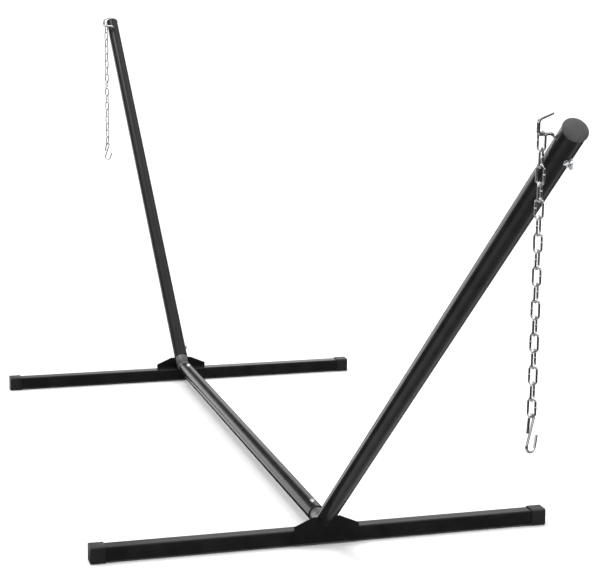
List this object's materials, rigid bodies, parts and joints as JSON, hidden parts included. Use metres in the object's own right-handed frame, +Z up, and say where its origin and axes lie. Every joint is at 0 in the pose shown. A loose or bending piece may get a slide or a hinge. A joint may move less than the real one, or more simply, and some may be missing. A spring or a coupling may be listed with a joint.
{
  "type": "hammock stand",
  "caption": "Free-standing steel hammock stand: straight tube beam on two square foot bars, two leaning arms, and a hook bolt, chain and S-hook at each arm.",
  "frame": {"origin": "on the floor, under the middle of the stand: the centre of the box's base", "axes": "+X along the stand from end b to end a, +Y across it, +Z up"},
  "size_m": [4.522, 1.2, 1.211],
  "materials": {
    "black_paint": "black powder coat, satin with a fine orange peel",
    "black_plastic": "dark moulded plastic",
    "grey_steel": "thin grey wash coat over the bent steel insert",
    "bright_zinc": "bright zinc plate"
  },
  "bodies": {
    "stand": {"foot_bar_a": "black_paint", "foot_bar_b": "black_paint", "foot_cap_a_left": "black_plastic", "foot_cap_a_right": "black_plastic", "foot_cap_b_left": "black_plastic", "foot_cap_b_right": "black_plastic", "gusset_a": "black_paint", "gusset_b": "black_paint", "elbow_a": "grey_steel", "elbow_b": "grey_steel", "beam": "black_paint", "arm_a": "black_paint", "arm_b": "black_paint", "arm_cap_a": "black_plastic", "arm_cap_b": "black_plastic", "beam_bolts": "bright_zinc", "beam_nuts": "bright_zinc", "arm_screws": "bright_zinc", "arm_weld_nuts": "grey_steel", "hook_bolt_a": "bright_zinc", "hook_bolt_b": "bright_zinc", "hook_washers": "bright_zinc", "hook_nuts": "bright_zinc"},
    "link_a_01": {"link_a_01": "bright_zinc"},
    "link_a_02": {"link_a_02": "bright_zinc"},
    "link_a_03": {"link_a_03": "bright_zinc"},
    "link_a_04": {"link_a_04": "bright_zinc"},
    "link_a_05": {"link_a_05": "bright_zinc"},
    "link_a_06": {"link_a_06": "bright_zinc"},
    "link_a_07": {"link_a_07": "bright_zinc"},
    "link_a_08": {"link_a_08": "bright_zinc"},
    "link_a_09": {"link_a_09": "bright_zinc"},
    "link_a_10": {"link_a_10": "bright_zinc"},
    "link_a_11": {"link_a_11": "bright_zinc"},
    "link_a_12": {"link_a_12": "bright_zinc"},
    "link_a_13": {"link_a_13": "bright_zinc"},
    "link_a_14": {"link_a_14": "bright_zinc"},
    "link_a_15": {"link_a_15": "bright_zinc"},
    "link_a_16": {"link_a_16": "bright_zinc"},
    "link_a_17": {"link_a_17": "bright_zinc"},
    "s_hook_a": {"s_hook_a": "bright_zinc"},
    "link_b_01": {"link_b_01": "bright_zinc"},
    "link_b_02": {"link_b_02": "bright_zinc"},
    "link_b_03": {"link_b_03": "bright_zinc"},
    "link_b_04": {"link_b_04": "bright_zinc"},
    "link_b_05": {"link_b_05": "bright_zinc"},
    "link_b_06": {"link_b_06": "bright_zinc"},
    "link_b_07": {"link_b_07": "bright_zinc"},
    "link_b_08": {"link_b_08": "bright_zinc"},
    "link_b_09": {"link_b_09": "bright_zinc"},
    "link_b_10": {"link_b_10": "bright_zinc"},
    "link_b_11": {"link_b_11": "bright_zinc"},
    "link_b_12": {"link_b_12": "bright_zinc"},
    "link_b_13": {"link_b_13": "bright_zinc"},
    "link_b_14": {"link_b_14": "bright_zinc"},
    "link_b_15": {"link_b_15": "bright_zinc"},
    "link_b_16": {"link_b_16": "bright_zinc"},
    "link_b_17": {"link_b_17": "bright_zinc"},
    "s_hook_b": {"s_hook_b": "bright_zinc"}
  },
  "joints": [
    {"name": "swing_link_a_01", "type": "hinge", "parent": "stand", "child": "link_a_01", "pos_m": [2.18845, -0.03382, 1.17188], "axis": [-0.4493, 0.8934, 0], "range_deg": [-6, 60]},
    {"name": "swing_link_a_02", "type": "hinge", "parent": "link_a_01", "child": "link_a_02", "pos_m": [2.18845, -0.03382, 1.14443], "axis": [-0.7193, -0.6947, 0], "range_deg": [-8, 60]},
    {"name": "swing_link_a_03", "type": "hinge", "parent": "link_a_02", "child": "link_a_03", "pos_m": [2.18845, -0.03382, 1.11573], "axis": [0.6947, -0.7193, 0], "range_deg": [-60, 10]},
    {"name": "swing_link_a_04", "type": "hinge", "parent": "link_a_03", "child": "link_a_04", "pos_m": [2.18845, -0.03382, 1.08703], "axis": [0.7193, 0.6947, 0], "range_deg": [-60, 60]},
    {"name": "swing_link_a_05", "type": "hinge", "parent": "link_a_04", "child": "link_a_05", "pos_m": [2.18845, -0.03382, 1.05833], "axis": [0.6947, -0.7193, 0], "range_deg": [-60, 60]},
    {"name": "swing_link_a_06", "type": "hinge", "parent": "link_a_05", "child": "link_a_06", "pos_m": [2.18845, -0.03382, 1.02963], "axis": [0.7193, 0.6947, 0], "range_deg": [-60, 60]},
    {"name": "swing_link_a_07", "type": "hinge", "parent": "link_a_06", "child": "link_a_07", "pos_m": [2.18845, -0.03382, 1.00093], "axis": [-0.6947, 0.7193, 0], "range_deg": [-60, 60]},
    {"name": "swing_link_a_08", "type": "hinge", "parent": "link_a_07", "child": "link_a_08", "pos_m": [2.18845, -0.03382, 0.97223], "axis": [-0.7193, -0.6947, 0], "range_deg": [-60, 60]},
    {"name": "swing_link_a_09", "type": "hinge", "parent": "link_a_08", "child": "link_a_09", "pos_m": [2.18845, -0.03382, 0.94353], "axis": [-0.6947, 0.7193, 0], "range_deg": [-60, 60]},
    {"name": "swing_link_a_10", "type": "hinge", "parent": "link_a_09", "child": "link_a_10", "pos_m": [2.18845, -0.03382, 0.91483], "axis": [-0.7193, -0.6947, 0], "range_deg": [-60, 60]},
    {"name": "swing_link_a_11", "type": "hinge", "parent": "link_a_10", "child": "link_a_11", "pos_m": [2.18845, -0.03382, 0.88613], "axis": [0.6947, -0.7193, 0], "range_deg": [-60, 60]},
    {"name": "swing_link_a_12", "type": "hinge", "parent": "link_a_11", "child": "link_a_12", "pos_m": [2.18845, -0.03382, 0.85743], "axis": [0.7193, 0.6947, 0], "range_deg": [-60, 60]},
    {"name": "swing_link_a_13", "type": "hinge", "parent": "link_a_12", "child": "link_a_13", "pos_m": [2.18845, -0.03382, 0.82873], "axis": [0.6947, -0.7193, 0], "range_deg": [-60, 60]},
    {"name": "swing_link_a_14", "type": "hinge", "parent": "link_a_13", "child": "link_a_14", "pos_m": [2.18845, -0.03382, 0.80003], "axis": [0.7193, 0.6947, 0], "range_deg": [-60, 60]},
    {"name": "swing_link_a_15", "type": "hinge", "parent": "link_a_14", "child": "link_a_15", "pos_m": [2.18845, -0.03382, 0.77133], "axis": [-0.6947, 0.7193, 0], "range_deg": [-60, 60]},
    {"name": "swing_link_a_16", "type": "hinge", "parent": "link_a_15", "child": "link_a_16", "pos_m": [2.18845, -0.03382, 0.74263], "axis": [-0.7193, -0.6947, 0], "range_deg": [-60, 60]},
    {"name": "swing_link_a_17", "type": "hinge", "parent": "link_a_16", "child": "link_a_17", "pos_m": [2.18845, -0.03382, 0.71393], "axis": [-0.6947, 0.7193, 0], "range_deg": [-60, 60]},
    {"name": "swing_s_hook_a", "type": "hinge", "parent": "link_a_17", "child": "s_hook_a", "pos_m": [2.18845, -0.03382, 0.68523], "axis": [-0.7193, -0.6947, 0], "range_deg": [-60, 60]},
    {"name": "swing_link_b_01", "type": "hinge", "parent": "stand", "child": "link_b_01", "pos_m": [-2.18845, -0.03382, 1.17188], "axis": [-0.4493, -0.8934, 0], "range_deg": [-6, 60]},
    {"name": "swing_link_b_02", "type": "hinge", "parent": "link_b_01", "child": "link_b_02", "pos_m": [-2.18845, -0.03382, 1.14443], "axis": [-0.7193, 0.6947, 0], "range_deg": [-8, 60]},
    {"name": "swing_link_b_03", "type": "hinge", "parent": "link_b_02", "child": "link_b_03", "pos_m": [-2.18845, -0.03382, 1.11573], "axis": [0.6947, 0.7193, 0], "range_deg": [-60, 10]},
    {"name": "swing_link_b_04", "type": "hinge", "parent": "link_b_03", "child": "link_b_04", "pos_m": [-2.18845, -0.03382, 1.08703], "axis": [0.7193, -0.6947, 0], "range_deg": [-60, 60]},
    {"name": "swing_link_b_05", "type": "hinge", "parent": "link_b_04", "child": "link_b_05", "pos_m": [-2.18845, -0.03382, 1.05833], "axis": [0.6947, 0.7193, 0], "range_deg": [-60, 60]},
    {"name": "swing_link_b_06", "type": "hinge", "parent": "link_b_05", "child": "link_b_06", "pos_m": [-2.18845, -0.03382, 1.02963], "axis": [0.7193, -0.6947, 0], "range_deg": [-60, 60]},
    {"name": "swing_link_b_07", "type": "hinge", "parent": "link_b_06", "child": "link_b_07", "pos_m": [-2.18845, -0.03382, 1.00093], "axis": [-0.6947, -0.7193, 0], "range_deg": [-60, 60]},
    {"name": "swing_link_b_08", "type": "hinge", "parent": "link_b_07", "child": "link_b_08", "pos_m": [-2.18845, -0.03382, 0.97223], "axis": [-0.7193, 0.6947, 0], "range_deg": [-60, 60]},
    {"name": "swing_link_b_09", "type": "hinge", "parent": "link_b_08", "child": "link_b_09", "pos_m": [-2.18845, -0.03382, 0.94353], "axis": [-0.6947, -0.7193, 0], "range_deg": [-60, 60]},
    {"name": "swing_link_b_10", "type": "hinge", "parent": "link_b_09", "child": "link_b_10", "pos_m": [-2.18845, -0.03382, 0.91483], "axis": [-0.7193, 0.6947, 0], "range_deg": [-60, 60]},
    {"name": "swing_link_b_11", "type": "hinge", "parent": "link_b_10", "child": "link_b_11", "pos_m": [-2.18845, -0.03382, 0.88613], "axis": [0.6947, 0.7193, 0], "range_deg": [-60, 60]},
    {"name": "swing_link_b_12", "type": "hinge", "parent": "link_b_11", "child": "link_b_12", "pos_m": [-2.18845, -0.03382, 0.85743], "axis": [0.7193, -0.6947, 0], "range_deg": [-60, 60]},
    {"name": "swing_link_b_13", "type": "hinge", "parent": "link_b_12", "child": "link_b_13", "pos_m": [-2.18845, -0.03382, 0.82873], "axis": [0.6947, 0.7193, 0], "range_deg": [-60, 60]},
    {"name": "swing_link_b_14", "type": "hinge", "parent": "link_b_13", "child": "link_b_14", "pos_m": [-2.18845, -0.03382, 0.80003], "axis": [0.7193, -0.6947, 0], "range_deg": [-60, 60]},
    {"name": "swing_link_b_15", "type": "hinge", "parent": "link_b_14", "child": "link_b_15", "pos_m": [-2.18845, -0.03382, 0.77133], "axis": [-0.6947, -0.7193, 0], "range_deg": [-60, 60]},
    {"name": "swing_link_b_16", "type": "hinge", "parent": "link_b_15", "child": "link_b_16", "pos_m": [-2.18845, -0.03382, 0.74263], "axis": [-0.7193, 0.6947, 0], "range_deg": [-60, 60]},
    {"name": "swing_link_b_17", "type": "hinge", "parent": "link_b_16", "child": "link_b_17", "pos_m": [-2.18845, -0.03382, 0.71393], "axis": [-0.6947, -0.7193, 0], "range_deg": [-60, 60]},
    {"name": "swing_s_hook_b", "type": "hinge", "parent": "link_b_17", "child": "s_hook_b", "pos_m": [-2.18845, -0.03382, 0.68523], "axis": [-0.7193, 0.6947, 0], "range_deg": [-60, 60]}
  ]
}
